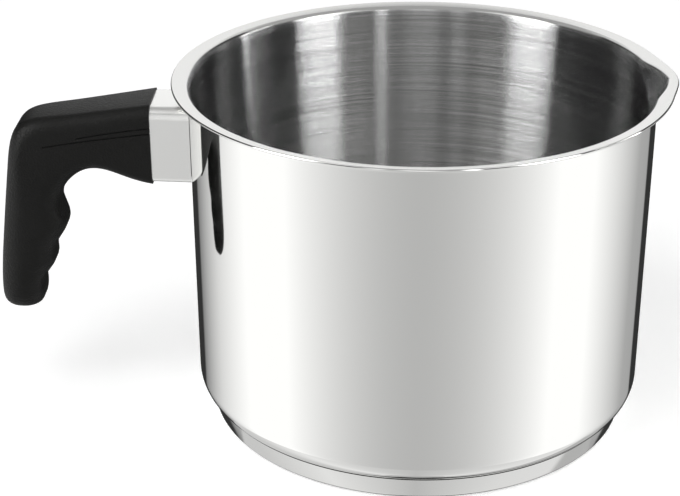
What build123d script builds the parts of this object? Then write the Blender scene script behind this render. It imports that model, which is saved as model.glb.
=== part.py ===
from build123d import *
import os
from math import cos, radians, sin, sqrt, tan

# Milk pan with a pouring lip, a spout, a capsule base and a pistol handle.
# Units are millimetres. +Z is up, and the origin is the centre of the base, on the stove.
# The handle points along -X and the spout along +X.

# Vessel
mouth_radius = 70.0          # inside of the wall at the lip, a 14 cm pan
wall = 0.8                   # gauge of the drawn sheet
rim_height = 109.0           # top of the lip above the stove
lip_overhang = 5.0           # how far the pouring lip stands out past the wall
lip_flat = 0.46              # straight left at the lip's edge, after its bend
flare_turn = 80.0            # how far the lip turns out from upright, in degrees
corner_radius = 7.0          # outside bend between the wall and the floor
foot_draft = 0.3             # how much the wall draws in down to that bend

# Spout
spout_depth = 14.0           # from the top of the lip down to the foot of the crease
spout_slope = 0.336          # how far the valley leans out for each millimetre of height
spout_reach = 1.4            # how far the lip's edge stands out past its circle
spout_straight = 0.3         # flat left at the lip's edge, at the spout's tip
spout_end_angle = 14.6       # where the plain lip begins, in degrees from the tip
spout_steps = 8              # sections from the tip to the plain lip
knee_gap = 0.4               # least height from the crease up to the lip's bend
seam_tolerance = 0.001       # how closely the spout's faces meet the round wall's

# Capsule base
base_thickness = 6.5         # from the stove up to the underside of the drawn floor
cap_sheet = 0.6              # gauge of the steel cap under the core
cap_height = 8.2             # top edge of the cap, which hugs the vessel's corner
cap_inset = 2.7              # from the foot of the wall in to the cap's top edge
cap_lean = 2.4               # how far the cap's side draws in down to the stove
cap_edge_radius = 1.8
bond_gap = 0.03              # left between the pressed faces of the base
ring_count = 3               # shallow turned rings under the base
ring_depth = 0.2
ring_width = 1.2
ring_inner_radius = 15.0
ring_pitch = 14.0

# Ferrule, the polished sleeve between the vessel and the grip
ferrule_drop = 8.2           # from the top of the lip down to its top
ferrule_height = 23.9
ferrule_length = 11.4        # from the wall out to the grip
ferrule_half_width = 10.5    # at the grip
ferrule_splay = 0.074        # how much wider each side gets for each millimetre to the wall
ferrule_top_round = 3.6
ferrule_foot_round = 2.0
ferrule_wall = 1.0
ferrule_wall_gap = 0.12      # hairline between the sleeve and the vessel

# Bracket, the bent strip that is spot-welded to the wall
bracket_sheet = 1.5
bracket_foot_room = 0.9       # left under it inside the ferrule
bracket_head_room = 5.0       # left over it inside the ferrule
bracket_half_width = 7.0     # outside of its two legs
bracket_flange = 2.1         # how far each welded flange stands out past its leg
bracket_setback = 2.2        # from the grip in to the outer face of its end plate
weld_gap = 0.05

# Screw, washers and nut
screw_drop = 14.0            # from the top of the ferrule down to the screw's line
screw_radius = 2.5
screw_tip_gap = 2.8          # left between the screw's tip and the wall
screw_head_radius = 4.4
screw_head_height = 3.2
screw_head_round = 1.0
screw_tip_chamfer = 0.6
screw_slot_width = 1.2
screw_slot_depth = 1.6
screw_play = 0.05            # radial play in the nut
hole_play = 0.25             # radial play in the washers, the bracket and the grip
washer_radius = 4.9
washer_thickness = 1.0
spring_washer_radius = 4.3
spring_washer_thickness = 1.2
spring_washer_gap = 0.8      # width of its split
nut_across_flats = 8.0
nut_height = 4.0

# Grip
grip_reach = 51.1            # from the ferrule out to the back of the grip
grip_drop = 69.2             # from its top at the ferrule down to its lower end
grip_lip = 0.6               # how far it stands proud of the ferrule above
grip_half_width = 10.9       # at the ferrule
grip_taper = 0.03            # how much each side draws in for each millimetre out
grip_round = 3.5             # rounding of its long edges
spigot_play = 0.15           # room round the grip's spigot inside the ferrule
grip_seat_depth = 28.8       # from the ferrule out to the washer's seat inside the grip
grip_counterbore = 5.2
accent_depth = 0.4           # depth of the moulded line along each side

# Outline of the grip seen from the side, as shares of its reach and its drop,
# from its top at the ferrule round to its toe under the ferrule
top_shares = [(0.000, 0.000), (0.290, 0.031), (0.583, 0.063)]
bend_shares = [(0.716, 0.082), (0.822, 0.136), (0.877, 0.220)]
back_shares = [(0.908, 0.360), (0.955, 0.634), (0.994, 0.851)]
end_shares = [(0.984, 0.939), (0.883, 1.000), (0.795, 0.981)]
lower_shares = [(0.751, 0.931), (0.703, 0.850), (0.665, 0.789), (0.648, 0.717)]
upper_shares = [(0.601, 0.656), (0.581, 0.598), (0.599, 0.523)]
arch_shares = [(0.575, 0.454), (0.513, 0.373), (0.427, 0.321), (0.325, 0.305), (0.192, 0.328)]
toe_share = (0.000, 0.376)

# Moulded line along the side of the grip, in the same shares
accent_low_shares = [(0.000, 0.117), (0.329, 0.146), (0.656, 0.192)]
accent_high_shares = [(0.656, 0.192), (0.348, 0.129), (0.000, 0.092)]

FULL_TURN = 360.0
DIAGONAL = sqrt(0.5)

# Worked out from the sizes above
outer_radius = mouth_radius + wall
foot_radius = outer_radius - foot_draft
corner_top = base_thickness + corner_radius
middle_radius = mouth_radius + wall / 2
lip_end_radius = middle_radius + lip_overhang
lip_end_height = rim_height - wall / 2
lip_rise = tan(radians(90 - flare_turn))
lip_corner_height = lip_end_height - (lip_end_radius - middle_radius) * lip_rise
lip_width = (lip_end_radius - middle_radius) / sin(radians(flare_turn))
flare_start = lip_corner_height - lip_width + lip_flat
spout_foot = rim_height - spout_depth
shell_split = spout_foot - corner_radius / 2
cap_top_radius = foot_radius - cap_inset
cap_foot_radius = cap_top_radius - cap_lean
ferrule_top = rim_height - ferrule_drop
ferrule_end = -outer_radius - ferrule_length
bracket_plate = ferrule_end + bracket_setback
bracket_foot = ferrule_top - ferrule_height + ferrule_wall + bracket_foot_room
bracket_head = ferrule_top - ferrule_wall - bracket_head_room
screw_height = ferrule_top - screw_drop
screw_tip = -outer_radius - screw_tip_gap
grip_top = ferrule_top + grip_lip
grip_seat = ferrule_end - grip_seat_depth
overrun = 2 * outer_radius   # long enough to cut right through any piece


def on_side(x, z):
    """A point of the upright middle plane that holds the handle and the spout."""
    return Vector(x, 0, z)


def grip_point(share):
    return on_side(ferrule_end - share[0] * grip_reach, grip_top - share[1] * grip_drop)


def turned(shape, angle):
    return Rot(0, 0, angle) * shape


def rod(radius, x_from, x_to):
    """A round bar along the screw's line."""
    frame = Plane(origin=(x_from, 0, screw_height), x_dir=(0, 1, 0), z_dir=(1, 0, 0))
    return extrude(frame * Circle(radius), x_to - x_from)


def lip_section(angle):
    """The lip's cut face at an angle from the spout's tip, drawn in the plane Y = 0.

    The middle of the sheet runs up the wall, leans out from the crease, bends and ends
    at the lip's edge. Where the plain lip begins, the lean is nothing."""
    near = max(0.0, 1 - abs(angle) / spout_end_angle)
    swell = sin(radians(90 * near)) ** 2
    end_x = lip_end_radius + spout_reach * swell
    crease = lip_corner_height - near * (lip_corner_height - spout_foot)
    # corner where the leaning line meets the line of the lip
    lean_x = middle_radius + spout_slope * (lip_end_height - end_x * lip_rise - crease)
    corner_x = max(middle_radius, lean_x / (1 - spout_slope * lip_rise))
    corner = on_side(corner_x, lip_end_height - (end_x - corner_x) * lip_rise)
    knee = on_side(middle_radius, min(crease, flare_start - knee_gap))
    up = (corner - knee).normalized()
    out = on_side(sin(radians(flare_turn)), cos(radians(flare_turn)))
    straight = (1 - swell) * lip_flat + swell * spout_straight
    run = (end_x - corner_x) / sin(radians(flare_turn)) - straight
    bend = run / tan(radians(up.get_angle(out) / 2))
    start = corner - up * run
    finish = corner + out * run
    tip = on_side(end_x, lip_end_height)
    foot = on_side(middle_radius, shell_split)
    level = on_side(1, 0)
    up_side = on_side(up.Z, -up.X)
    out_side = on_side(out.Z, -out.X)
    knee_side = (level + up_side) * (1 / (1 + level.dot(up_side)))
    inward = ((start + finish) * (1 / 2) - start - up_side * bend).normalized()
    centre = start + up_side * bend
    half = wall / 2
    under = [foot + level * half, knee + knee_side * half, start + up_side * half,
             centre + inward * (bend - half), finish + out_side * half, tip + out_side * half]
    over = [foot - level * half, knee - knee_side * half, start - up_side * half,
            centre + inward * (bend + half), finish - out_side * half, tip - out_side * half]
    return make_face(Wire([
        Line(under[0], under[1]),
        Line(under[1], under[2]),
        ThreePointArc(under[2], under[3], under[4]),
        Line(under[4], under[5]),
        ThreePointArc(under[5], tip + out * half, over[5]),
        Line(over[5], over[4]),
        ThreePointArc(over[4], over[3], over[2]),
        Line(over[2], over[1]),
        Line(over[1], over[0]),
        Line(over[0], under[0]),
    ]))


def build_bowl():
    """Floor, corner and wall as far up as the foot of the spout."""
    outer_x = foot_radius - corner_radius
    bend = corner_radius - wall
    floor_top = base_thickness + wall
    return revolve(make_face(Wire([
        Line(on_side(0, base_thickness), on_side(outer_x, base_thickness)),
        ThreePointArc(on_side(outer_x, base_thickness),
                      on_side(outer_x + corner_radius * DIAGONAL, corner_top - corner_radius * DIAGONAL),
                      on_side(foot_radius, corner_top)),
        Line(on_side(foot_radius, corner_top), on_side(outer_radius, shell_split)),
        Line(on_side(outer_radius, shell_split), on_side(mouth_radius, shell_split)),
        Line(on_side(mouth_radius, shell_split), on_side(foot_radius - wall, corner_top)),
        ThreePointArc(on_side(foot_radius - wall, corner_top),
                      on_side(outer_x + bend * DIAGONAL, corner_top - bend * DIAGONAL),
                      on_side(outer_x, floor_top)),
        Line(on_side(outer_x, floor_top), on_side(0, floor_top)),
        Line(on_side(0, floor_top), on_side(0, base_thickness)),
    ])), Axis.Z, FULL_TURN)


def build_pan_shell():
    """The drawn vessel: floor, wall and pouring lip in one sheet, with the pressed spout."""
    plain = turned(lip_section(spout_end_angle), spout_end_angle)
    lip = revolve(plain, Axis.Z, FULL_TURN - 2 * spout_end_angle)
    angles = [spout_end_angle * step / spout_steps for step in range(spout_steps + 1)]
    halves = [loft([turned(lip_section(angle), side * angle) for angle in angles])
              for side in (1, -1)]
    return build_bowl().fuse(lip, *halves, tol=seam_tolerance).clean()


def vessel_room(gap):
    """The room that the vessel takes below its lip, grown by a gap."""
    body = Pos(0, 0, base_thickness - gap) * extrude(Circle(foot_radius + gap), rim_height)
    return fillet(body.edges().sort_by(Axis.Z)[0], corner_radius + gap)


def capsule_solid(inset, top):
    """The capsule's outside drawn in by inset, filled from its floor up to a height."""
    slope = (cap_top_radius - cap_foot_radius) / cap_height
    side_x = cap_foot_radius - inset * sqrt(1 + slope ** 2)
    outline = Polyline(on_side(0, inset), on_side(side_x + slope * inset, inset),
                       on_side(side_x + slope * top, top), on_side(0, top), close=True)
    solid = revolve(make_face(outline), Axis.Z, FULL_TURN)
    return fillet(solid.edges().sort_by(Axis.Z)[0], cap_edge_radius - inset)


def build_base_cap():
    """The steel cap pressed over the core, with shallow turned rings underneath."""
    cap = capsule_solid(0, cap_height) - capsule_solid(cap_sheet, cap_height + cap_sheet)
    cap -= vessel_room(bond_gap)
    for index in range(ring_count):
        inner = ring_inner_radius + index * ring_pitch
        cap -= extrude(Circle(inner + ring_width) - Circle(inner), ring_depth)
    return cap


def build_base_core():
    """The aluminium disc that spreads the heat, squeezed up round the vessel's corner."""
    return capsule_solid(cap_sheet + bond_gap, cap_height) - vessel_room(bond_gap)


def sleeve_section(x, inset):
    """The ferrule's outline at x, drawn in by inset."""
    half_width = ferrule_half_width + (x - ferrule_end) * ferrule_splay - inset
    frame = Plane(origin=(x, 0, ferrule_top - ferrule_height / 2), x_dir=(0, 1, 0), z_dir=(1, 0, 0))
    outline = Rectangle(2 * half_width, ferrule_height - 2 * inset)
    outline = fillet(outline.vertices().group_by(Axis.Y)[-1], ferrule_top_round - inset)
    outline = fillet(outline.vertices().group_by(Axis.Y)[0], ferrule_foot_round - inset)
    return frame * outline


def sleeve_solid(inset):
    return loft([sleeve_section(ferrule_end, inset), sleeve_section(-mouth_radius, inset)])


def build_ferrule():
    """The polished sleeve that keeps the flame off the grip, scarfed to the vessel's wall."""
    vessel = extrude(Circle(outer_radius + ferrule_wall_gap), rim_height)
    return sleeve_solid(0) - sleeve_solid(ferrule_wall) - vessel


def build_handle_bracket():
    """The bent steel strip whose flanges are spot-welded to the wall."""
    inner = outer_radius + weld_gap
    reach = bracket_half_width + bracket_flange
    ring = Circle(inner + bracket_sheet) - Circle(inner)
    flanges = ring & (Pos(-overrun / 2, 0) * Rectangle(overrun, 2 * reach))
    depth = -bracket_plate
    inside_depth = depth - bracket_sheet
    outside = Pos(-depth / 2, 0) * Rectangle(depth, 2 * bracket_half_width)
    inside = Rectangle(inside_depth, 2 * (bracket_half_width - bracket_sheet))
    hat = flanges + outside - Pos(-inside_depth / 2, 0) * inside - Circle(inner)
    strip = Pos(0, 0, bracket_foot) * extrude(hat, bracket_head - bracket_foot)
    return strip - rod(screw_radius + hole_play, bracket_plate - bracket_sheet, -mouth_radius)


def build_bracket_nut():
    """The weld nut behind the bracket's end plate."""
    start = bracket_plate + bracket_sheet
    frame = Plane(origin=(start, 0, screw_height), x_dir=(0, 1, 0), z_dir=(1, 0, 0))
    body = extrude(frame * RegularPolygon(nut_across_flats / 2, 6, major_radius=False), nut_height)
    return body - rod(screw_radius + screw_play, start, start + nut_height)


def washer_face():
    return grip_seat - washer_thickness


def head_face():
    return washer_face() - spring_washer_thickness


def build_tie_screw():
    """The slotted screw that draws the grip against the bracket."""
    back = head_face() - screw_head_height
    head = rod(screw_head_radius, back, head_face())
    head = fillet(head.edges().sort_by(Axis.X)[0], screw_head_round)
    shank = rod(screw_radius, head_face(), screw_tip)
    shank = chamfer(shank.edges().sort_by(Axis.X)[-1], screw_tip_chamfer)
    slot = Box(screw_slot_depth, 2 * screw_head_radius, screw_slot_width)
    return head + shank - Pos(back + screw_slot_depth / 2, 0, screw_height) * slot


def build_flat_washer():
    ring = rod(washer_radius, washer_face(), grip_seat)
    return ring - rod(screw_radius + hole_play, washer_face(), grip_seat)


def build_spring_washer():
    """The split ring under the screw's head."""
    ring = rod(spring_washer_radius, head_face(), washer_face())
    ring -= rod(screw_radius + hole_play, head_face(), washer_face())
    split = Box(spring_washer_thickness, spring_washer_gap, spring_washer_radius)
    middle = head_face() + spring_washer_thickness / 2
    return ring - Pos(middle, 0, screw_height + spring_washer_radius / 2) * split


def grip_outline():
    """The grip seen from the side: top line, bend, back, rounded end, finger grooves, arch."""
    shares = (top_shares + bend_shares + back_shares + end_shares + lower_shares
              + upper_shares + arch_shares + [toe_share])
    points = [grip_point(share) for share in shares]
    return make_face(Wire([Spline(points), Line(points[-1], points[0])]))


def grip_plan(inset):
    """The room between the grip's sides, which draw in towards the back."""
    back = ferrule_end - grip_reach - grip_round
    front = grip_half_width - inset
    rear = front + (back - ferrule_end) * grip_taper
    corners = [(ferrule_end, front), (back, rear), (back, -rear), (ferrule_end, -front)]
    return extrude(make_face(Polyline(*corners, close=True)), rim_height)


def accent_cut():
    """The sliver of the moulded line, outside the inset sides of the grip."""
    low = [grip_point(share) for share in accent_low_shares]
    high = [grip_point(share) for share in accent_high_shares]
    face = make_face(Wire([ThreePointArc(*low), ThreePointArc(*high), Line(high[-1], low[0])]))
    return extrude(face, grip_half_width, both=True) - grip_plan(accent_depth)


def build_handle_grip():
    """The moulded grip with its finger grooves, screw hole and spigot."""
    body = extrude(grip_outline(), grip_half_width + grip_lip, both=True) & grip_plan(0)
    sides = body.faces().filter_by(lambda face: abs(face.normal_at().Y) > DIAGONAL)
    long_edges = [edge for face in sides for edge in face.edges()
                  if edge.center().X < ferrule_end - grip_round]
    body = fillet(long_edges, grip_round)
    body -= accent_cut()
    spigot = extrude(sleeve_section(ferrule_end, ferrule_wall + spigot_play), bracket_plate - ferrule_end)
    body += spigot
    body -= rod(grip_counterbore, grip_seat - overrun, grip_seat)
    return body - rod(screw_radius + hole_play, grip_seat, bracket_plate)


PARTS = {
    "pan_shell": build_pan_shell,
    "base_core": build_base_core,
    "base_cap": build_base_cap,
    "handle_bracket": build_handle_bracket,
    "bracket_nut": build_bracket_nut,
    "ferrule": build_ferrule,
    "handle_grip": build_handle_grip,
    "flat_washer": build_flat_washer,
    "spring_washer": build_spring_washer,
    "tie_screw": build_tie_screw,
}

os.makedirs("parts", exist_ok=True)
for name, build in PARTS.items():
    export_step(build(), f"parts/{name}.step")
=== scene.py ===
from math import atan2, cos, degrees, hypot, pi, radians, sin, sqrt, tan

import bpy
from mathutils import Matrix, Vector


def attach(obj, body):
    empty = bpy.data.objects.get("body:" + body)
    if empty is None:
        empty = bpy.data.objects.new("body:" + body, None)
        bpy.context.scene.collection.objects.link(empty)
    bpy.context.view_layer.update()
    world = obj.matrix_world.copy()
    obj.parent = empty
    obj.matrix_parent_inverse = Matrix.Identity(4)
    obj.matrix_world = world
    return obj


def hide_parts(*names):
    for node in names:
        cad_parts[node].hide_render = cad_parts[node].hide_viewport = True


# A small steel milk pan with a pouring lip, a pressed spout, a capsule base and a black
# pistol handle. Sizes are in millimetres and turned to metres where a mesh is made.
# The handle points along -X and the spout along +X, and the pan stands on Z = 0.

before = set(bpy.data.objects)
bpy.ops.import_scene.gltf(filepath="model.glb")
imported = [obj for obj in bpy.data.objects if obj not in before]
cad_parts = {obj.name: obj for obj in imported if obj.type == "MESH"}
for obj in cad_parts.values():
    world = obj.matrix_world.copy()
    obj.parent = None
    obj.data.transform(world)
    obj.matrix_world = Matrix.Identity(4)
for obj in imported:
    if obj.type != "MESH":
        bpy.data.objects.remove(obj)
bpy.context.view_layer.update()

MM = 0.001

# Vessel
WALL = 0.8
OUTER_RADIUS = 70.8          # outside of the wall under the lip
FOOT_RADIUS = 70.5           # outside of the wall just over its corner
FLOOR_HEIGHT = 6.5           # underside of the drawn floor
CORNER_RADIUS = 7.0          # outside bend between the floor and the wall
RIM_HEIGHT = 109.0
LIP_OVERHANG = 4.99
LIP_FLAT = 3.0               # flat part of the lip, out from its bend
FLARE_TURN = radians(80)     # how far the lip turns out from upright
SPOUT_DEPTH = 14.0           # from the rim down to the foot of the spout's crease
SPOUT_SLOPE = 0.336
SPOUT_REACH = 1.4
SPOUT_STRAIGHT = 1.0
SPOUT_END = radians(14.6)    # where the plain lip begins, either side of the tip
KNEE_GAP = 0.4
KNEE_HOLD = 0.35             # how near the knee the rows on either side of it lie
UPPER_ROW = 20.0             # from the rim down to the wall's upper row
BRUSHED_REACH = 4.2          # how far out over the wall the lip is brushed
PAN_COLUMNS = 480            # sides of everything spun round the pan's axis
BEND_STEPS = 14              # rows in the bend over the base
FLARE_STEPS = 22             # rows in the bend under the lip
EDGE_STEPS = 28              # rows round the lip's edge

# Capsule base
CAP_SHEET = 0.6
CAP_FOOT_RADIUS = 65.4
CAP_LEAN = 2.4 / 8.2         # how far the side draws out for each millimetre up
CAP_EDGE_RADIUS = 1.8
BOND_GAP = 0.03
SEAM_OPENING = 0.26          # open mouth of the seam between the cap and the vessel
SEAM_RADIUS = 67.7
SEAM_INNER_RADIUS = 66.93    # where the cap leaves the vessel's corner inside the seam
SEAM_FOOT = 7.86 - SEAM_OPENING
SEAM_BEND = 0.3              # from the seam's foot down to the row that holds it
# Inside of the rolled edge: the height at which the side is taken, the step in from it, and
# the point's own height
CAP_INSIDE = ((2.5, 0.0, 2.5), (1.6, 0.4, 1.2), (CAP_SHEET, 1.4, CAP_SHEET))
RING_RADII = (15.0, 29.0, 43.0)
RING_WIDTH = 1.2
RING_DEPTH = 0.2
RING_BEVEL = 0.15

# Ferrule
FERRULE_TOP = 100.8
FERRULE_FOOT = 76.9
FERRULE_END = -82.2          # where the grip begins
FERRULE_START = -66          # inside the wall, before the sleeve is cut to it
FERRULE_HALF_WIDTH = 10.5
FERRULE_SPLAY = 0.074
FERRULE_TOP_ROUND = 3.6
FERRULE_FOOT_ROUND = 2.0
FERRULE_SHEET = 1.0
FERRULE_GAP = 0.12           # hairline between the sleeve and the vessel

# Grip
GRIP_HALF_WIDTH = 10.9
GRIP_TAPER = 0.03            # how much each side draws in for each millimetre out
SCREW_HEIGHT = 86.8
SCREW_SEAT = -111.0
COUNTERBORE = 5.2

# Cuts across the grip from the ferrule to its toe: where each meets the grip's outer line
# and its inner line with the finger grooves, both as (X, Z)
GRIP_LINES = (
    ((-82.2, 101.4), (-82.2, 75.9)),
    ((-91.0, 100.1), (-88.0, 76.7)),
    ((-101.0, 98.6), (-95.5, 80.3)),
    ((-110.0, 97.3), (-102.5, 80.7)),
    ((-118.5, 96.4), (-107.8, 77.2)),
    ((-123.8, 94.2), (-110.6, 73.4)),
    ((-126.3, 89.2), (-112.5, 69.8)),
    ((-127.5, 83.6), (-113.0, 66.4)),
    ((-128.5, 76.8), (-111.5, 63.0)),
    ((-129.6, 69.6), (-110.4, 59.8)),
    ((-130.7, 61.5), (-113.0, 55.7)),
    ((-131.6, 54.7), (-116.0, 51.4)),
    ((-132.2, 50.1), (-114.9, 47.4)),
    ((-132.7, 45.4), (-117.4, 43.8)),
    ((-133.0, 41.5), (-120.6, 40.4)),
    ((-133.1, 38.0), (-119.8, 37.2)),
    ((-133.1, 34.9), (-119.9, 34.1)),
    ((-132.2, 32.1), (-121.2, 31.6)),
    ((-129.8, 30.9), (-124.2, 30.8)),
    ((-127.0, 30.9), (-127.0, 30.9)),
)
# How round each cut is at its outer and inner corners, and its half width before the taper
GRIP_CUTS = (
    (3.8, 2.6, 10.9), (4.0, 3.0, 10.9), (4.2, 3.5, 10.9), (4.4, 4.2, 10.9), (4.8, 5.0, 10.9),
    (5.4, 6.0, 10.9), (6.2, 7.0, 10.9), (6.8, 7.8, 10.9), (7.2, 8.3, 10.9), (7.4, 8.3, 10.9),
    (7.4, 8.3, 10.9), (7.4, 8.3, 10.9), (7.4, 8.3, 10.9), (7.4, 8.3, 10.9), (7.2, 8.2, 10.9),
    (6.8, 8.0, 10.7), (6.0, 7.0, 9.8), (4.6, 5.4, 7.8), (2.4, 2.8, 4.8), (0.1, 0.1, 0.1),
)

# Two moulded lines along each side of the grip, as (X, Z)
LOW_LINE = ((-81.0, 93.4), (-99.0, 91.3), (-115.7, 88.1))
HIGH_LINE = ((-81.0, 95.2), (-94.0, 93.6), (-105.0, 91.2))
LINE_WIDTH = 0.4
LINE_DEPTH = 0.4


def deselect():
    bpy.ops.object.select_all(action="DESELECT")


def start_editing(piece):
    deselect()
    bpy.context.view_layer.objects.active = piece
    piece.select_set(True)
    bpy.ops.object.mode_set(mode="EDIT")


def stop_editing():
    bpy.ops.object.mode_set(mode="OBJECT")


def apply_modifier(piece, kind, **settings):
    deselect()
    bpy.context.view_layer.objects.active = piece
    piece.select_set(True)
    modifier = piece.modifiers.new(kind.title(), kind)
    for name, value in settings.items():
        setattr(modifier, name, value)
    bpy.ops.object.modifier_apply(modifier=modifier.name)


def smooth(piece, angle):
    deselect()
    bpy.context.view_layer.objects.active = piece
    piece.select_set(True)
    bpy.ops.object.shade_smooth_by_angle(angle=radians(angle))


def draw_line(name, points):
    """Draws a line through points, each vertex extruded from the one before."""
    deselect()
    places = [Vector(point) * MM for point in points]
    bpy.ops.mesh.primitive_plane_add(size=MM, location=places[0])
    piece = bpy.context.object
    piece.name = name
    bpy.ops.object.transform_apply()
    bpy.ops.object.mode_set(mode="EDIT")
    bpy.ops.mesh.select_mode(type="VERT")
    bpy.ops.mesh.merge(type="CENTER")
    for here, there in zip(places, places[1:]):
        bpy.ops.mesh.extrude_region_move(TRANSFORM_OT_translate={"value": there - here})
    bpy.ops.mesh.select_all(action="SELECT")
    return piece


def spin_round():
    """Spins the selected line once round the pan's axis and closes it on the axis."""
    bpy.ops.mesh.spin(steps=PAN_COLUMNS, angle=2 * pi, center=(0, 0, 0), axis=(0, 0, 1))
    bpy.ops.mesh.select_all(action="SELECT")
    stop_editing()


def close_up(piece):
    start_editing(piece)
    bpy.ops.mesh.select_all(action="SELECT")
    bpy.ops.mesh.remove_doubles(threshold=0.002 * MM)
    bpy.ops.mesh.normals_make_consistent(inside=False)
    stop_editing()


def arc(centre, radius, start, end, steps):
    """Points of an arc in the (radius, height) plane, from one angle to another."""
    return [(centre[0] + radius * cos(start + (end - start) * step / steps),
             centre[1] + radius * sin(start + (end - start) * step / steps))
            for step in range(steps + 1)]


def unit(x, z):
    return x / hypot(x, z), z / hypot(x, z)


def steepness(direction):
    """The angle between a direction and upright."""
    return atan2(direction[0], direction[1])


def lip_rows(angle):
    """The vessel's cut face at an angle from the spout's tip, as (radius, height) points.

    It begins on the axis under the floor, goes up the outside and over the lip, and comes
    back down the inside. Every angle gives the same number of points."""
    half = WALL / 2
    middle = OUTER_RADIUS - half
    lip_end = middle + LIP_OVERHANG
    lip_height = RIM_HEIGHT - half
    rise = 1 / tan(FLARE_TURN)
    plain_corner = lip_height - LIP_OVERHANG * rise
    flare_start = plain_corner - LIP_OVERHANG / sin(FLARE_TURN) + LIP_FLAT
    near = max(0.0, 1 - abs(angle) / SPOUT_END)
    swell = sin(pi / 2 * near) ** 2
    end_x = lip_end + SPOUT_REACH * swell
    crease = plain_corner - near * (plain_corner - RIM_HEIGHT + SPOUT_DEPTH)
    lean_x = middle + SPOUT_SLOPE * (lip_height - end_x * rise - crease)
    corner_x = max(middle, lean_x / (1 - SPOUT_SLOPE * rise))
    corner_z = lip_height - (end_x - corner_x) * rise
    knee_z = min(crease, flare_start - KNEE_GAP)
    up = unit(corner_x - middle, corner_z - knee_z)
    out = (sin(FLARE_TURN), cos(FLARE_TURN))
    straight = (1 - swell) * LIP_FLAT + swell * SPOUT_STRAIGHT
    run = (end_x - corner_x) / sin(FLARE_TURN) - straight
    start = (corner_x - up[0] * run, corner_z - up[1] * run)
    turn = FLARE_TURN - steepness(up)
    bend = run / tan(turn / 2)
    centre = (start[0] + up[1] * bend, start[1] - up[0] * bend)
    first = pi - steepness(up)
    last = first - turn
    under_bend = arc(centre, bend - half, first, last, FLARE_STEPS)
    over_bend = arc(centre, bend + half, last, first, FLARE_STEPS)
    edge = arc((end_x, lip_height), half, -FLARE_TURN, pi - FLARE_TURN, EDGE_STEPS)
    foot_x = FOOT_RADIUS - CORNER_RADIUS
    foot_z = FLOOR_HEIGHT + CORNER_RADIUS
    outside_corner = arc((foot_x, foot_z), CORNER_RADIUS, -pi / 2, 0, BEND_STEPS)
    inside_corner = arc((foot_x, foot_z), CORNER_RADIUS - WALL, 0, -pi / 2, BEND_STEPS)
    # the bend at the knee is held by a row just under it and one just over it
    lean_held = (middle + up[0] * KNEE_HOLD, knee_z + up[1] * KNEE_HOLD)
    side = (up[1], -up[0])
    outside_knee = [(middle + half, knee_z - KNEE_HOLD),
                    (lean_held[0] + side[0] * half, lean_held[1] + side[1] * half)]
    inside_knee = [(lean_held[0] - side[0] * half, lean_held[1] - side[1] * half),
                   (middle - half, knee_z - KNEE_HOLD)]
    return ([(0.0, FLOOR_HEIGHT), (foot_x - 1, FLOOR_HEIGHT)]
            + outside_corner
            + [(FOOT_RADIUS + 0.01, foot_z + 1), (OUTER_RADIUS, RIM_HEIGHT - UPPER_ROW)]
            + outside_knee
            + under_bend + edge + over_bend
            + inside_knee
            + [(OUTER_RADIUS - WALL, RIM_HEIGHT - UPPER_ROW),
               (FOOT_RADIUS + 0.01 - WALL, foot_z + 1)]
            + inside_corner
            + [(foot_x - 1, FLOOR_HEIGHT + WALL), (0.0, FLOOR_HEIGHT + WALL)])


def make_vessel():
    """Spins the drawn sheet and then presses the spout into it."""
    rows = lip_rows(pi)
    vessel = draw_line("drawn_vessel", [(-radius, 0, height) for radius, height in rows])
    spin_round()
    for vertex in vessel.data.vertices:
        angle = atan2(vertex.co.y, vertex.co.x)
        if abs(angle) < SPOUT_END and vertex.co.z > FLOOR_HEIGHT * 2 * MM:
            place = Vector((hypot(vertex.co.x, vertex.co.y), vertex.co.z)) / MM
            row = min(range(len(rows)), key=lambda index: (place - Vector(rows[index])).length)
            radius, height = lip_rows(angle)[row]
            vertex.co = Vector((radius * cos(angle), radius * sin(angle), height)) * MM
    close_up(vessel)
    smooth(vessel, 60)
    return vessel


def make_cap():
    """The steel cap under the core, with its rolled edge and turned rings underneath."""
    corner_x = FOOT_RADIUS - CORNER_RADIUS
    corner_z = FLOOR_HEIGHT + CORNER_RADIUS
    hug = CORNER_RADIUS + BOND_GAP

    def on_corner(x):
        return x, corner_z - sqrt(hug ** 2 - (x - corner_x) ** 2)

    def side_x(z, inset=0.0):
        return CAP_FOOT_RADIUS - inset * sqrt(1 + CAP_LEAN ** 2) + CAP_LEAN * z

    edge_turn = pi / 2 - steepness((CAP_LEAN, 1))
    reach = CAP_EDGE_RADIUS * tan(edge_turn / 2)
    edge_centre = (CAP_FOOT_RADIUS - reach, CAP_EDGE_RADIUS)
    outline = [(0.0, 0.0)]
    for inner in RING_RADII:
        outline += [(inner, 0.0), (inner + RING_BEVEL, RING_DEPTH),
                    (inner + RING_WIDTH - RING_BEVEL, RING_DEPTH), (inner + RING_WIDTH, 0.0)]
    outline += [(edge_centre[0] - 1, 0.0)]
    outline += arc(edge_centre, CAP_EDGE_RADIUS, -pi / 2, -pi / 2 + edge_turn, 8)
    outline += [(side_x(SEAM_FOOT - SEAM_BEND), SEAM_FOOT - SEAM_BEND),
                (side_x(SEAM_FOOT), SEAM_FOOT),
                on_corner(SEAM_RADIUS - SEAM_OPENING), on_corner(SEAM_INNER_RADIUS)]
    outline += [(side_x(beside, CAP_SHEET) - step_in, height)
                for beside, step_in, height in CAP_INSIDE]
    outline += [(0.0, CAP_SHEET)]
    cap = draw_line("capsule_cap", [(-radius, 0, height) for radius, height in outline])
    spin_round()
    close_up(cap)
    smooth(cap, 35)
    return cap


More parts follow.
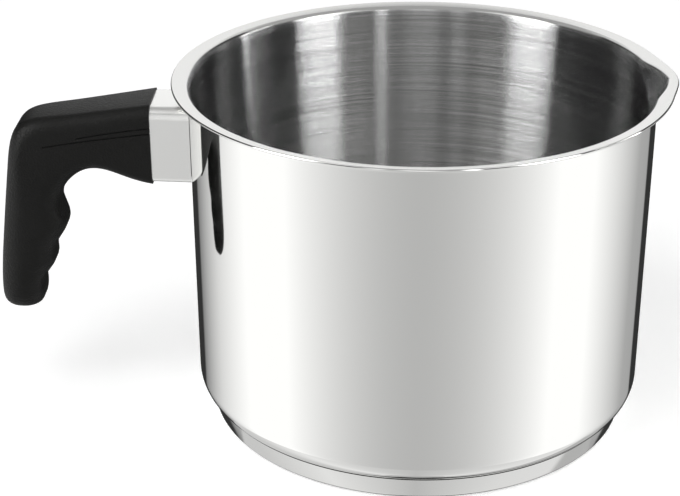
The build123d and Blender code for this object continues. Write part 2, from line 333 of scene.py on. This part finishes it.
def rounded_box(half_width, foot, top, foot_round, top_round, steps):
    """Corner points (Y, Z) of an upright box with rounded corners, from the foot round."""
    corners = (((half_width - foot_round, foot + foot_round), foot_round, -pi / 2),
               ((half_width - top_round, top - top_round), top_round, 0),
               ((top_round - half_width, top - top_round), top_round, pi / 2),
               ((foot_round - half_width, foot + foot_round), foot_round, pi))
    points = []
    for centre, radius, start in corners:
        points += arc(centre, radius, start, start + pi / 2, steps)
    return points


def make_ferrule():
    """The polished sleeve: its outline is drawn, extruded to the wall, splayed and hollowed."""
    points = rounded_box(FERRULE_HALF_WIDTH, FERRULE_FOOT, FERRULE_TOP,
                         FERRULE_FOOT_ROUND, FERRULE_TOP_ROUND, 12)
    ferrule = draw_line("polished_ferrule", [(FERRULE_END, y, z) for y, z in points])
    bpy.ops.mesh.edge_face_add()
    reach = (FERRULE_START - FERRULE_END) * MM
    bpy.ops.mesh.extrude_region_move(TRANSFORM_OT_translate={"value": (reach, 0, 0)})
    splay = 1 + reach / MM * FERRULE_SPLAY / FERRULE_HALF_WIDTH
    bpy.ops.transform.resize(value=(1, splay, 1), center_override=(0, 0, 0))
    bpy.ops.mesh.select_all(action="SELECT")
    bpy.ops.mesh.normals_make_consistent(inside=False)
    stop_editing()
    # both ends are opened before the sheet gets its thickness inwards
    start_editing(ferrule)
    bpy.ops.mesh.select_mode(type="FACE")
    bpy.ops.mesh.select_all(action="DESELECT")
    stop_editing()
    for face in ferrule.data.polygons:
        face.select = abs(face.normal.x) > 0.9
    start_editing(ferrule)
    bpy.ops.mesh.delete(type="ONLY_FACE")
    stop_editing()
    apply_modifier(ferrule, "SOLIDIFY", thickness=FERRULE_SHEET * MM, offset=-1,
                   use_even_offset=True)
    cut_with_rod(ferrule, (0, 0, 90), OUTER_RADIUS + FERRULE_GAP, 60, "Z", PAN_COLUMNS)
    smooth(ferrule, 30)
    return ferrule


def cut_away(piece, cutter):
    apply_modifier(piece, "BOOLEAN", operation="DIFFERENCE", object=cutter, solver="MANIFOLD")


def cut_with_rod(piece, centre, radius, length, axis, sides):
    """Cuts a round hole through a piece with a Boolean modifier."""
    deselect()
    turn = (0, pi / 2, 0) if axis == "X" else (0, 0, 0)
    bpy.ops.mesh.primitive_cylinder_add(vertices=sides, radius=radius * MM, depth=length * MM,
                                        location=Vector(centre) * MM, rotation=turn)
    cutter = bpy.context.object
    cut_away(piece, cutter)
    bpy.data.objects.remove(cutter)


def smooth_line(points, steps):
    """A smooth line drawn by points, which it passes close by, as a NURBS curve gives it."""
    curve = bpy.data.curves.new("line", "CURVE")
    curve.dimensions = "3D"
    spline = curve.splines.new("NURBS")
    spline.points.add(len(points) - 1)
    for knot, point in zip(spline.points, points):
        knot.co = (*point, 1)
    spline.order_u = min(4, len(points))
    spline.use_endpoint_u = True
    spline.resolution_u = steps
    holder = bpy.data.objects.new("line", curve)
    bpy.context.scene.collection.objects.link(holder)
    bpy.context.view_layer.update()
    mesh = holder.to_mesh()
    line = [tuple(vertex.co) for vertex in mesh.vertices]
    bpy.data.objects.remove(holder)
    return line


def make_line_cutter(points):
    """A thin strip that follows one moulded line and stands into the grip's side."""
    line = smooth_line([(x, GRIP_HALF_WIDTH + 1, z) for x, z in points], 10)
    lower = [(x, y, z - LINE_WIDTH) for x, y, z in line]
    cutter = draw_line("line_cutter", line + lower[::-1])
    bpy.ops.mesh.edge_face_add()
    bpy.ops.mesh.extrude_region_move(
        TRANSFORM_OT_translate={"value": (0, -(1 + LINE_DEPTH) * MM, 0)})
    bpy.ops.mesh.select_all(action="SELECT")
    bpy.ops.mesh.normals_make_consistent(inside=False)
    stop_editing()
    return cutter


def grip_cut(outer, inner, rounds):
    """The closed outline of one cut across the grip."""
    middle = (outer + inner) / 2
    half = (outer - inner).length / 2
    up = (outer - inner).normalized()
    outer_round, inner_round, half_width = rounds
    inner_round = min(inner_round, 2 * half - outer_round)
    outline = rounded_box(half_width, -half, half, max(inner_round, 0.02), outer_round, 8)
    return [middle + up * along + Vector((0, across, 0)) for across, along in outline]


def make_grip():
    """The moulded grip: its first cut is drawn at the ferrule and extruded from cut to cut,
    round the bend and down over the finger grooves to the toe, where it closes. Then its
    sides draw in towards the back, and the moulded lines and the screw hole are cut."""
    outer = smooth_line([(line[0][0], 0, line[0][1]) for line in GRIP_LINES], 8)
    inner = smooth_line([(line[1][0], 0, line[1][1]) for line in GRIP_LINES], 8)
    rounds = smooth_line(GRIP_CUTS, 8)
    cuts = [grip_cut(Vector(high), Vector(low), shape)
            for high, low, shape in zip(outer, inner, rounds)]
    grip = draw_line("moulded_grip", cuts[0])
    bpy.ops.mesh.edge_face_add()
    for here, there in zip(outer, outer[1:]):
        step = (Vector(there) - Vector(here)) * MM
        bpy.ops.mesh.extrude_region_move(TRANSFORM_OT_translate={"value": step})
    stop_editing()
    places = [place for cut in cuts for place in cut]
    for vertex, place in zip(grip.data.vertices, places):
        vertex.co = place * MM
    close_up(grip)
    apply_modifier(grip, "TRIANGULATE")
    for points in (LOW_LINE, HIGH_LINE):
        cutter = make_line_cutter(points)
        cut_away(grip, cutter)
        cutter.data.transform(Matrix.Diagonal((1, -1, 1, 1)))
        cutter.data.flip_normals()
        cut_away(grip, cutter)
        bpy.data.objects.remove(cutter)
    for vertex in grip.data.vertices:
        out = FERRULE_END - vertex.co.x / MM
        vertex.co.y *= 1 - GRIP_TAPER * max(0.0, out) / GRIP_HALF_WIDTH
    cut_with_rod(grip, (SCREW_SEAT - 20, 0, SCREW_HEIGHT), COUNTERBORE, 40, "X", 64)
    smooth(grip, 35)
    return grip


# Materials

def to_linear(colour):
    """An sRGB hex colour as linear red, green, blue and alpha."""
    channels = [int(colour[place:place + 2], 16) / 255 for place in (1, 3, 5)]
    return [c / 12.92 if c <= 0.04045 else ((c + 0.055) / 1.055) ** 2.4 for c in channels] + [1.0]


def add_node(tree, kind, settings=None, inputs=None):
    """Adds a node, gives it its settings, and sets or links its inputs."""
    node = tree.nodes.new(kind)
    for name, value in (settings or {}).items():
        setattr(node, name, value)
    for name, value in (inputs or {}).items():
        if isinstance(value, bpy.types.NodeSocket):
            tree.links.new(value, node.inputs[name])
        else:
            node.inputs[name].default_value = value
    return node


def new_material(name):
    material = bpy.data.materials.new(name)
    material.use_nodes = True
    material.node_tree.nodes.clear()
    return material, material.node_tree


def finish_material(tree, surface):
    add_node(tree, "ShaderNodeOutputMaterial", inputs={"Surface": surface})


def polished_steel(name, colour, haze):
    """Polished stainless steel: a clear image of what stands round it, broken only by the
    faint swirls that the buffing wheel leaves. The more haze, the softer the image."""
    material, tree = new_material(name)
    place = add_node(tree, "ShaderNodeTexCoord").outputs["Object"]
    swirl = add_node(tree, "ShaderNodeTexNoise", inputs={
        "Vector": place, "Scale": 1 / (9 * MM), "Detail": 3.0})
    roughness = add_node(tree, "ShaderNodeMapRange", inputs={
        "Value": swirl.outputs["Fac"], "To Min": haze, "To Max": haze + 0.025})
    steel = add_node(tree, "ShaderNodeBsdfPrincipled", inputs={
        "Base Color": to_linear(colour), "Metallic": 1.0,
        "Roughness": roughness.outputs["Result"]})
    finish_material(tree, steel.outputs["BSDF"])
    return material


def satin_steel():
    """Stainless steel finished with a fine mop: soft pale grey with no clear image."""
    material, tree = new_material("stainless_steel_mopped_to_satin")
    place = add_node(tree, "ShaderNodeTexCoord").outputs["Object"]
    drift = add_node(tree, "ShaderNodeVectorMath", {"operation": "MULTIPLY"}, {
        0: place, 1: (1, 1, 0.15)})
    streaks = add_node(tree, "ShaderNodeTexNoise", inputs={
        "Vector": drift.outputs["Vector"], "Scale": 1 / (2 * MM), "Detail": 1.0})
    roughness = add_node(tree, "ShaderNodeMapRange", inputs={
        "Value": streaks.outputs["Fac"], "To Min": 0.24, "To Max": 0.28})
    steel = add_node(tree, "ShaderNodeBsdfPrincipled", inputs={
        "Base Color": to_linear("#fcfcfa"), "Metallic": 1.0,
        "Roughness": roughness.outputs["Result"]})
    finish_material(tree, steel.outputs["BSDF"])
    return material


def brushed_steel():
    """Stainless steel brushed round the pan's axis: fine rings of scratches that draw each
    light out into an upright band."""
    material, tree = new_material("stainless_steel_brushed_in_rings")
    place = add_node(tree, "ShaderNodeTexCoord").outputs["Object"]
    round_axis = add_node(tree, "ShaderNodeVectorMath", {"operation": "CROSS_PRODUCT"}, {
        0: (0, 0, 1), 1: place})
    tangent = add_node(tree, "ShaderNodeVectorMath", {"operation": "NORMALIZE"}, {
        0: round_axis.outputs["Vector"]})
    # scratches run round the axis: close together up the wall and out from the centre
    flat = add_node(tree, "ShaderNodeVectorMath", {"operation": "MULTIPLY"}, {
        0: place, 1: (1, 1, 0)})
    radius = add_node(tree, "ShaderNodeVectorMath", {"operation": "LENGTH"}, {
        0: flat.outputs["Vector"]})
    across = add_node(tree, "ShaderNodeCombineXYZ", inputs={"X": radius.outputs["Value"]})
    short = add_node(tree, "ShaderNodeVectorMath", {"operation": "MULTIPLY_ADD"}, {
        0: place, 1: (0.2, 0.2, 1), 2: across.outputs["Vector"]})
    grit = add_node(tree, "ShaderNodeTexNoise", inputs={
        "Vector": short.outputs["Vector"], "Scale": 1 / (0.02 * MM), "Detail": 0.0})
    long = add_node(tree, "ShaderNodeVectorMath", {"operation": "MULTIPLY_ADD"}, {
        0: place, 1: (0.008, 0.008, 1), 2: across.outputs["Vector"]})
    strokes = add_node(tree, "ShaderNodeTexNoise", inputs={
        "Vector": long.outputs["Vector"], "Scale": 1 / (0.55 * MM), "Detail": 2.0})
    # each scratch's sides lean up and down the wall, and not along it
    fine_lean = add_node(tree, "ShaderNodeMapRange", {"clamp": False}, {
        "Value": grit.outputs["Fac"], "From Min": 0.5, "From Max": 0.62,
        "To Min": 0.1, "To Max": 0.55})
    lean = add_node(tree, "ShaderNodeMath", {"operation": "MULTIPLY_ADD"}, {
        0: strokes.outputs["Fac"], 1: 0.25, 2: fine_lean.outputs["Result"]})
    # the brushing fades out where the flare turns over into the buffed lip
    normal = add_node(tree, "ShaderNodeNewGeometry").outputs["Normal"]
    upward = add_node(tree, "ShaderNodeSeparateXYZ", inputs={"Vector": normal})
    fade = add_node(tree, "ShaderNodeMapRange", {"interpolation_type": "SMOOTHSTEP"}, {
        "Value": upward.outputs["Z"], "From Min": 0.55, "From Max": 0.85,
        "To Min": 1.0, "To Max": 0.0})
    lean = add_node(tree, "ShaderNodeMath", {"operation": "MULTIPLY"}, {
        0: lean.outputs["Value"], 1: fade.outputs["Result"]})
    crosswise = add_node(tree, "ShaderNodeVectorMath", {"operation": "CROSS_PRODUCT"}, {
        0: normal, 1: tangent.outputs["Vector"]})
    tipped = add_node(tree, "ShaderNodeVectorMath", {"operation": "SCALE"}, {
        0: crosswise.outputs["Vector"], "Scale": lean.outputs["Value"]})
    leaning = add_node(tree, "ShaderNodeVectorMath", {"operation": "ADD"}, {
        0: normal, 1: tipped.outputs["Vector"]})
    scratched = add_node(tree, "ShaderNodeVectorMath", {"operation": "NORMALIZE"}, {
        0: leaning.outputs["Vector"]})
    # the deeper scratches of each stroke look lighter or darker than those beside them
    tone = add_node(tree, "ShaderNodeMapRange", inputs={
        "Value": strokes.outputs["Fac"], "From Min": 0.3, "From Max": 0.7})
    scratches = add_node(tree, "ShaderNodeMix", {"data_type": "RGBA"}, {
        "Factor": tone.outputs["Result"], "A": to_linear("#aeaeae"), "B": to_linear("#d8d8d8")})
    colour = add_node(tree, "ShaderNodeMix", {"data_type": "RGBA"}, {
        "Factor": fade.outputs["Result"], "A": to_linear("#ececea"),
        "B": scratches.outputs["Result"]})
    steel = add_node(tree, "ShaderNodeBsdfPrincipled", inputs={
        "Base Color": colour.outputs["Result"], "Metallic": 1.0, "Roughness": 0.13,
        "Anisotropic": 0.9, "Anisotropic Rotation": 0.25,
        "Tangent": tangent.outputs["Vector"], "Normal": scratched.outputs["Vector"]})
    finish_material(tree, steel.outputs["BSDF"])
    return material


def moulded_phenolic():
    """Phenolic resin moulded in a sparked tool: a satin black skin with a fine even grain."""
    material, tree = new_material("phenolic_resin_moulded_satin_black")
    place = add_node(tree, "ShaderNodeTexCoord").outputs["Object"]
    grain = add_node(tree, "ShaderNodeTexNoise", inputs={
        "Vector": place, "Scale": 1 / (0.6 * MM), "Detail": 2.0})
    clouds = add_node(tree, "ShaderNodeTexNoise", inputs={
        "Vector": place, "Scale": 1 / (14 * MM), "Detail": 2.0})
    colour = add_node(tree, "ShaderNodeMix", {"data_type": "RGBA"}, {
        "Factor": clouds.outputs["Fac"], "A": to_linear("#141413"), "B": to_linear("#1a1a19")})
    roughness = add_node(tree, "ShaderNodeMapRange", inputs={
        "Value": grain.outputs["Fac"], "To Min": 0.28, "To Max": 0.54})
    bump = add_node(tree, "ShaderNodeBump", inputs={
        "Height": grain.outputs["Fac"], "Strength": 1.0, "Distance": 0.2 * MM})
    resin = add_node(tree, "ShaderNodeBsdfPrincipled", inputs={
        "Base Color": colour.outputs["Result"], "Roughness": roughness.outputs["Result"],
        "IOR": 1.55, "Specular IOR Level": 0.12, "Normal": bump.outputs["Normal"]})
    finish_material(tree, resin.outputs["BSDF"])
    return material


def plain_metal(name, colour, grain, low, high):
    """Unpolished metal: a soft grey gleam, a little uneven."""
    material, tree = new_material(name)
    place = add_node(tree, "ShaderNodeTexCoord").outputs["Object"]
    patches = add_node(tree, "ShaderNodeTexNoise", inputs={
        "Vector": place, "Scale": 1 / (grain * MM), "Detail": 4.0})
    roughness = add_node(tree, "ShaderNodeMapRange", inputs={
        "Value": patches.outputs["Fac"], "To Min": low, "To Max": high})
    metal = add_node(tree, "ShaderNodeBsdfPrincipled", inputs={
        "Base Color": to_linear(colour), "Metallic": 1.0,
        "Roughness": roughness.outputs["Result"]})
    finish_material(tree, metal.outputs["BSDF"])
    return material


def give_material(piece, *materials):
    piece.data.materials.clear()
    for material in materials:
        piece.data.materials.append(material)


def fit(piece, node):
    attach(piece, "root")
    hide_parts(node)


# The pan

mirror = polished_steel("stainless_steel_buffed_to_a_mirror", "#f0f0ee", 0.035)
spun = polished_steel("stainless_steel_spun_and_polished", "#ececea", 0.08)
# The seam material is painted shade: a near-black, rough metal standing in for the shade in the
# narrow gap between the cap and the vessel
seam = plain_metal("steel_painted_dark_with_seam_shade", "#2b2b2a", 1.0, 0.5, 0.7)
brushed = brushed_steel()
satin = satin_steel()
resin = moulded_phenolic()

vessel = make_vessel()
give_material(vessel, mirror, brushed)
for face in vessel.data.polygons:
    centre = face.center / MM
    inward = face.normal.x * centre.x + face.normal.y * centre.y < 0
    from_axis = hypot(centre.x, centre.y)
    upward = face.normal.z > 0.05 and from_axis < OUTER_RADIUS + BRUSHED_REACH
    face.material_index = 1 if inward or upward else 0
fit(vessel, "pan_shell")

cap = make_cap()
give_material(cap, spun, seam)
# Faces inside the seam take the painted seam shade
for face in cap.data.polygons:
    in_seam_shade = face.center.z > SEAM_FOOT * MM and face.normal.z > 0.1
    face.material_index = 1 if in_seam_shade else 0
fit(cap, "base_cap")

ferrule = make_ferrule()
give_material(ferrule, satin)
fit(ferrule, "ferrule")

grip = make_grip()
give_material(grip, resin)
fit(grip, "handle_grip")

zinc = plain_metal("steel_zinc_plated", "#9fa1a2", 0.8, 0.3, 0.5)
aluminium = plain_metal("aluminium_rolled_plain", "#d2d3d4", 2.0, 0.25, 0.4)
for node in ("handle_bracket", "bracket_nut", "flat_washer", "spring_washer", "tie_screw"):
    give_material(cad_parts[node], zinc)
give_material(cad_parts["base_core"], aluminium)

# Camera, where the outlines of the rim, the wall and the base put it

CAMERA_PLACE = (-8.47, -485.44, 278.69)
CAMERA_YAW = 0.0340
CAMERA_DIP = 0.4390
CAMERA_ROLL = -0.0038

camera = bpy.data.objects.new("camera", bpy.data.cameras.new("camera"))
bpy.context.scene.collection.objects.link(camera)
camera.data.sensor_width = 36
camera.data.sensor_fit = "HORIZONTAL"
camera.data.lens = 89.30
camera.data.clip_start = 0.01
camera.matrix_world = (Matrix.Translation(Vector(CAMERA_PLACE) * MM)
                       @ Matrix.Rotation(CAMERA_YAW, 4, "Z")
                       @ Matrix.Rotation(pi / 2 - CAMERA_DIP, 4, "X")
                       @ Matrix.Rotation(CAMERA_ROLL, 4, "Z"))
bpy.context.scene.camera = camera

# Studio

TABLE_GLOW = 0.42            # lifts the table to white for the camera alone

world = bpy.data.worlds.new("white_room")
bpy.context.scene.world = world
world.use_nodes = True
tree = world.node_tree
tree.nodes.clear()
rays = add_node(tree, "ShaderNodeLightPath")
seen = add_node(tree, "ShaderNodeMath", {"operation": "MAXIMUM"}, {
    0: rays.outputs["Is Camera Ray"], 1: rays.outputs["Is Glossy Ray"]})
seen = add_node(tree, "ShaderNodeMath", {"operation": "MAXIMUM"}, {
    0: seen.outputs["Value"], 1: rays.outputs["Is Transmission Ray"]})
strength = add_node(tree, "ShaderNodeMapRange", inputs={
    "Value": seen.outputs["Value"], "To Min": 0.5, "To Max": 1.0})
sky = add_node(tree, "ShaderNodeBackground", inputs={
    "Color": (1, 1, 1, 1), "Strength": strength.outputs["Result"]})
add_node(tree, "ShaderNodeOutputWorld", inputs={"Surface": sky.outputs["Background"]})

deselect()
bpy.ops.mesh.primitive_plane_add(size=6, location=(0, 0, 0))
floor = bpy.context.object
floor.name = "table"
material, tree = new_material("table_white")
white = add_node(tree, "ShaderNodeBsdfDiffuse", inputs={"Color": (0.8, 0.8, 0.8, 1)})
rays = add_node(tree, "ShaderNodeLightPath")
seen = add_node(tree, "ShaderNodeMath", {"operation": "MAXIMUM"}, {
    0: rays.outputs["Is Camera Ray"], 1: rays.outputs["Is Glossy Ray"]})
glow = add_node(tree, "ShaderNodeMath", {"operation": "MULTIPLY"}, {
    0: seen.outputs["Value"], 1: TABLE_GLOW})
light = add_node(tree, "ShaderNodeEmission", inputs={"Strength": glow.outputs["Value"]})
both = add_node(tree, "ShaderNodeAddShader", inputs={0: white.outputs["BSDF"],
                                                    1: light.outputs["Emission"]})
finish_material(tree, both.outputs["Shader"])
give_material(floor, material)


HOOD_HEIGHT = 1.6

# What stands round the pan in its polished steel, in degrees from +X. Metal seen from above
# mirrors the white table cards with their open front and black back, and the brushed inside
# draws the light strips overhead out into upright bands.
# Where each table card begins and ends, and how bright it is there
TABLE_CARDS = (
    (-180, 1.0), (0, 1.0), (40, 0.38), (53, 0.34), (55, 0.03), (123, 0.03), (126, 0.22),
    (150, 0.67), (175, 1.0), (180, 1.0),
)
# The open side where the camera stands: its middle, its half width and its grey
FRONT_MIDDLE = -90
FRONT_HALF_WIDTH = 68
FRONT_GREY = 0.46
FRONT_CURVE = 1.8            # how slowly it turns pale away from its middle
TABLE_GAIN = 1.15
# The same for the cards lower down, which the base mirrors
DEEP_CARDS = (
    (-180, 0.8), (-160, 0.9), (-90, 0.57), (-22, 0.82), (18, 0.85), (22, 0.5), (54, 0.5),
    (58, 0.04), (110, 0.04), (114, 0.62), (150, 0.66), (180, 0.8),
)
# Each strip light: its two edges, how far it fades out past each, and its brightness
STRIP_LIGHTS = (
    (-164, -146, 2, 10, 7.2),
    (-111, -109, 8, 8, 1.1),
    (-96, -88, 10, 16, 1.2),
    (-113, -72, 6, 2, 0.5),
    (-70.5, -66.5, 1.5, 2.5, 3.2),
    (-41.5, -22, 5, 2, 7.2),
    (11.5, 15, 1, 1, 7.5),
    (29, 31, 3, 4, 0.2),
    (65, 115, 5, 5, 0.4),
)
UNLIT = 0.03


def card_level(angle, cards):
    """How bright the cards are in one direction, shaded evenly from edge to edge."""
    for (left, low), (right, high) in zip(cards, cards[1:]):
        if left <= angle <= right:
            return low + (angle - left) / (right - left) * (high - low)


def table_level(angle):
    """The table cards, and the open front that is greyest in its middle."""
    away = min(1.0, abs(angle - FRONT_MIDDLE) / FRONT_HALF_WIDTH)
    front = FRONT_GREY + (1 - FRONT_GREY) * away ** FRONT_CURVE
    return TABLE_GAIN * front * card_level(angle, TABLE_CARDS)


def deep_level(angle):
    return card_level(angle, DEEP_CARDS)


def strip_level(angle):
    """The brightest of the strip lights in one direction."""
    levels = [UNLIT]
    for left, right, fade_left, fade_right, level in STRIP_LIGHTS:
        past = max((left - angle) / fade_left, (angle - right) / fade_right, 0.0)
        levels.append(level * (1 - past))
    return max(levels)


def make_cards(name, foot, top, level_at):
    """A ring of studio cards that only polished and satin surfaces mirror."""
    deselect()
    bpy.ops.mesh.primitive_cylinder_add(vertices=720, radius=1.5, depth=top - foot,
                                        location=(0, 0, (top + foot) / 2),
                                        end_fill_type="NOTHING")
    ring = bpy.context.object
    ring.name = name
    bpy.ops.object.transform_apply()
    painted = ring.data.attributes.new("level", "FLOAT", "POINT")
    for vertex in ring.data.vertices:
        angle = degrees(atan2(vertex.co.y, vertex.co.x))
        painted.data[vertex.index].value = level_at(angle)
    material, tree = new_material(name)
    level = add_node(tree, "ShaderNodeAttribute", {"attribute_name": "level"})
    light = add_node(tree, "ShaderNodeEmission", inputs={"Strength": level.outputs["Fac"]})
    finish_material(tree, light.outputs["Emission"])
    give_material(ring, material)
    ring.visible_camera = ring.visible_diffuse = ring.visible_shadow = False


make_cards("table_cards", -1.35, 0.0, table_level)
make_cards("deep_cards", -12.0, -1.35, deep_level)
make_cards("strip_lights", 0.0, HOOD_HEIGHT, strip_level)
floor.visible_glossy = False


def make_panel(name, centre, size, tilt, level, sides=4):
    """A flat glowing panel that only polished and satin surfaces mirror."""
    deselect()
    if sides == 4:
        bpy.ops.mesh.primitive_plane_add(size=1, location=centre, rotation=(tilt, 0, 0))
    else:
        bpy.ops.mesh.primitive_circle_add(vertices=sides, radius=0.5, fill_type="NGON",
                                          location=centre, rotation=(tilt, 0, 0))
    panel = bpy.context.object
    panel.name = name
    panel.scale = (size[0], size[1], 1)
    bpy.ops.object.transform_apply(location=False, rotation=False, scale=True)
    material, tree = new_material(name)
    light = add_node(tree, "ShaderNodeEmission", inputs={"Strength": level})
    finish_material(tree, light.outputs["Emission"])
    give_material(panel, material)
    panel.visible_camera = panel.visible_diffuse = panel.visible_shadow = False


make_panel("grey_hood", (0, 0, HOOD_HEIGHT), (3, 3), 0, 0.4)
make_panel("left_overhead", (-0.7, -0.3, HOOD_HEIGHT - 0.05), (0.5, 0.9), 0, 1.2)
make_panel("right_overhead", (0.7, -0.3, HOOD_HEIGHT - 0.05), (0.5, 0.9), 0, 1.2)
make_panel("back_card", (0, 1.4, 0.55), (1.5, 1.1), pi / 2, 0.95)
make_panel("left_back_wing", (-0.56, 1.39, 1.33), (0.42, 0.5), pi / 2, 0.95)
make_panel("right_back_wing", (0.56, 1.39, 1.33), (0.42, 0.5), pi / 2, 0.95)
make_panel("under_card", (0, 0, -12), (3, 3), 0, 0.5)
make_panel("shade_under_base", (0, 0, -0.001), (0.13, 0.13), 0, 0.04, sides=96)


def add_softbox(name, place, size, power):
    lamp = bpy.data.objects.new(name, bpy.data.lights.new(name, "AREA"))
    bpy.context.scene.collection.objects.link(lamp)
    lamp.data.shape = "RECTANGLE"
    lamp.data.size, lamp.data.size_y = size
    lamp.data.energy = power
    lamp.location = place
    lamp.visible_glossy = False
    towards_pan = Vector((0, 0, 0.06)) - lamp.location
    lamp.rotation_euler = towards_pan.to_track_quat("-Z", "Y").to_euler()
    return lamp


add_softbox("key_softbox", Vector((-0.7, -0.6, 1.3)), (0.9, 0.9), 9)
add_softbox("fill_softbox", Vector((1.0, -0.2, 1.1)), (0.8, 0.8), 2.5)

bpy.context.scene.view_settings.view_transform = "Standard"
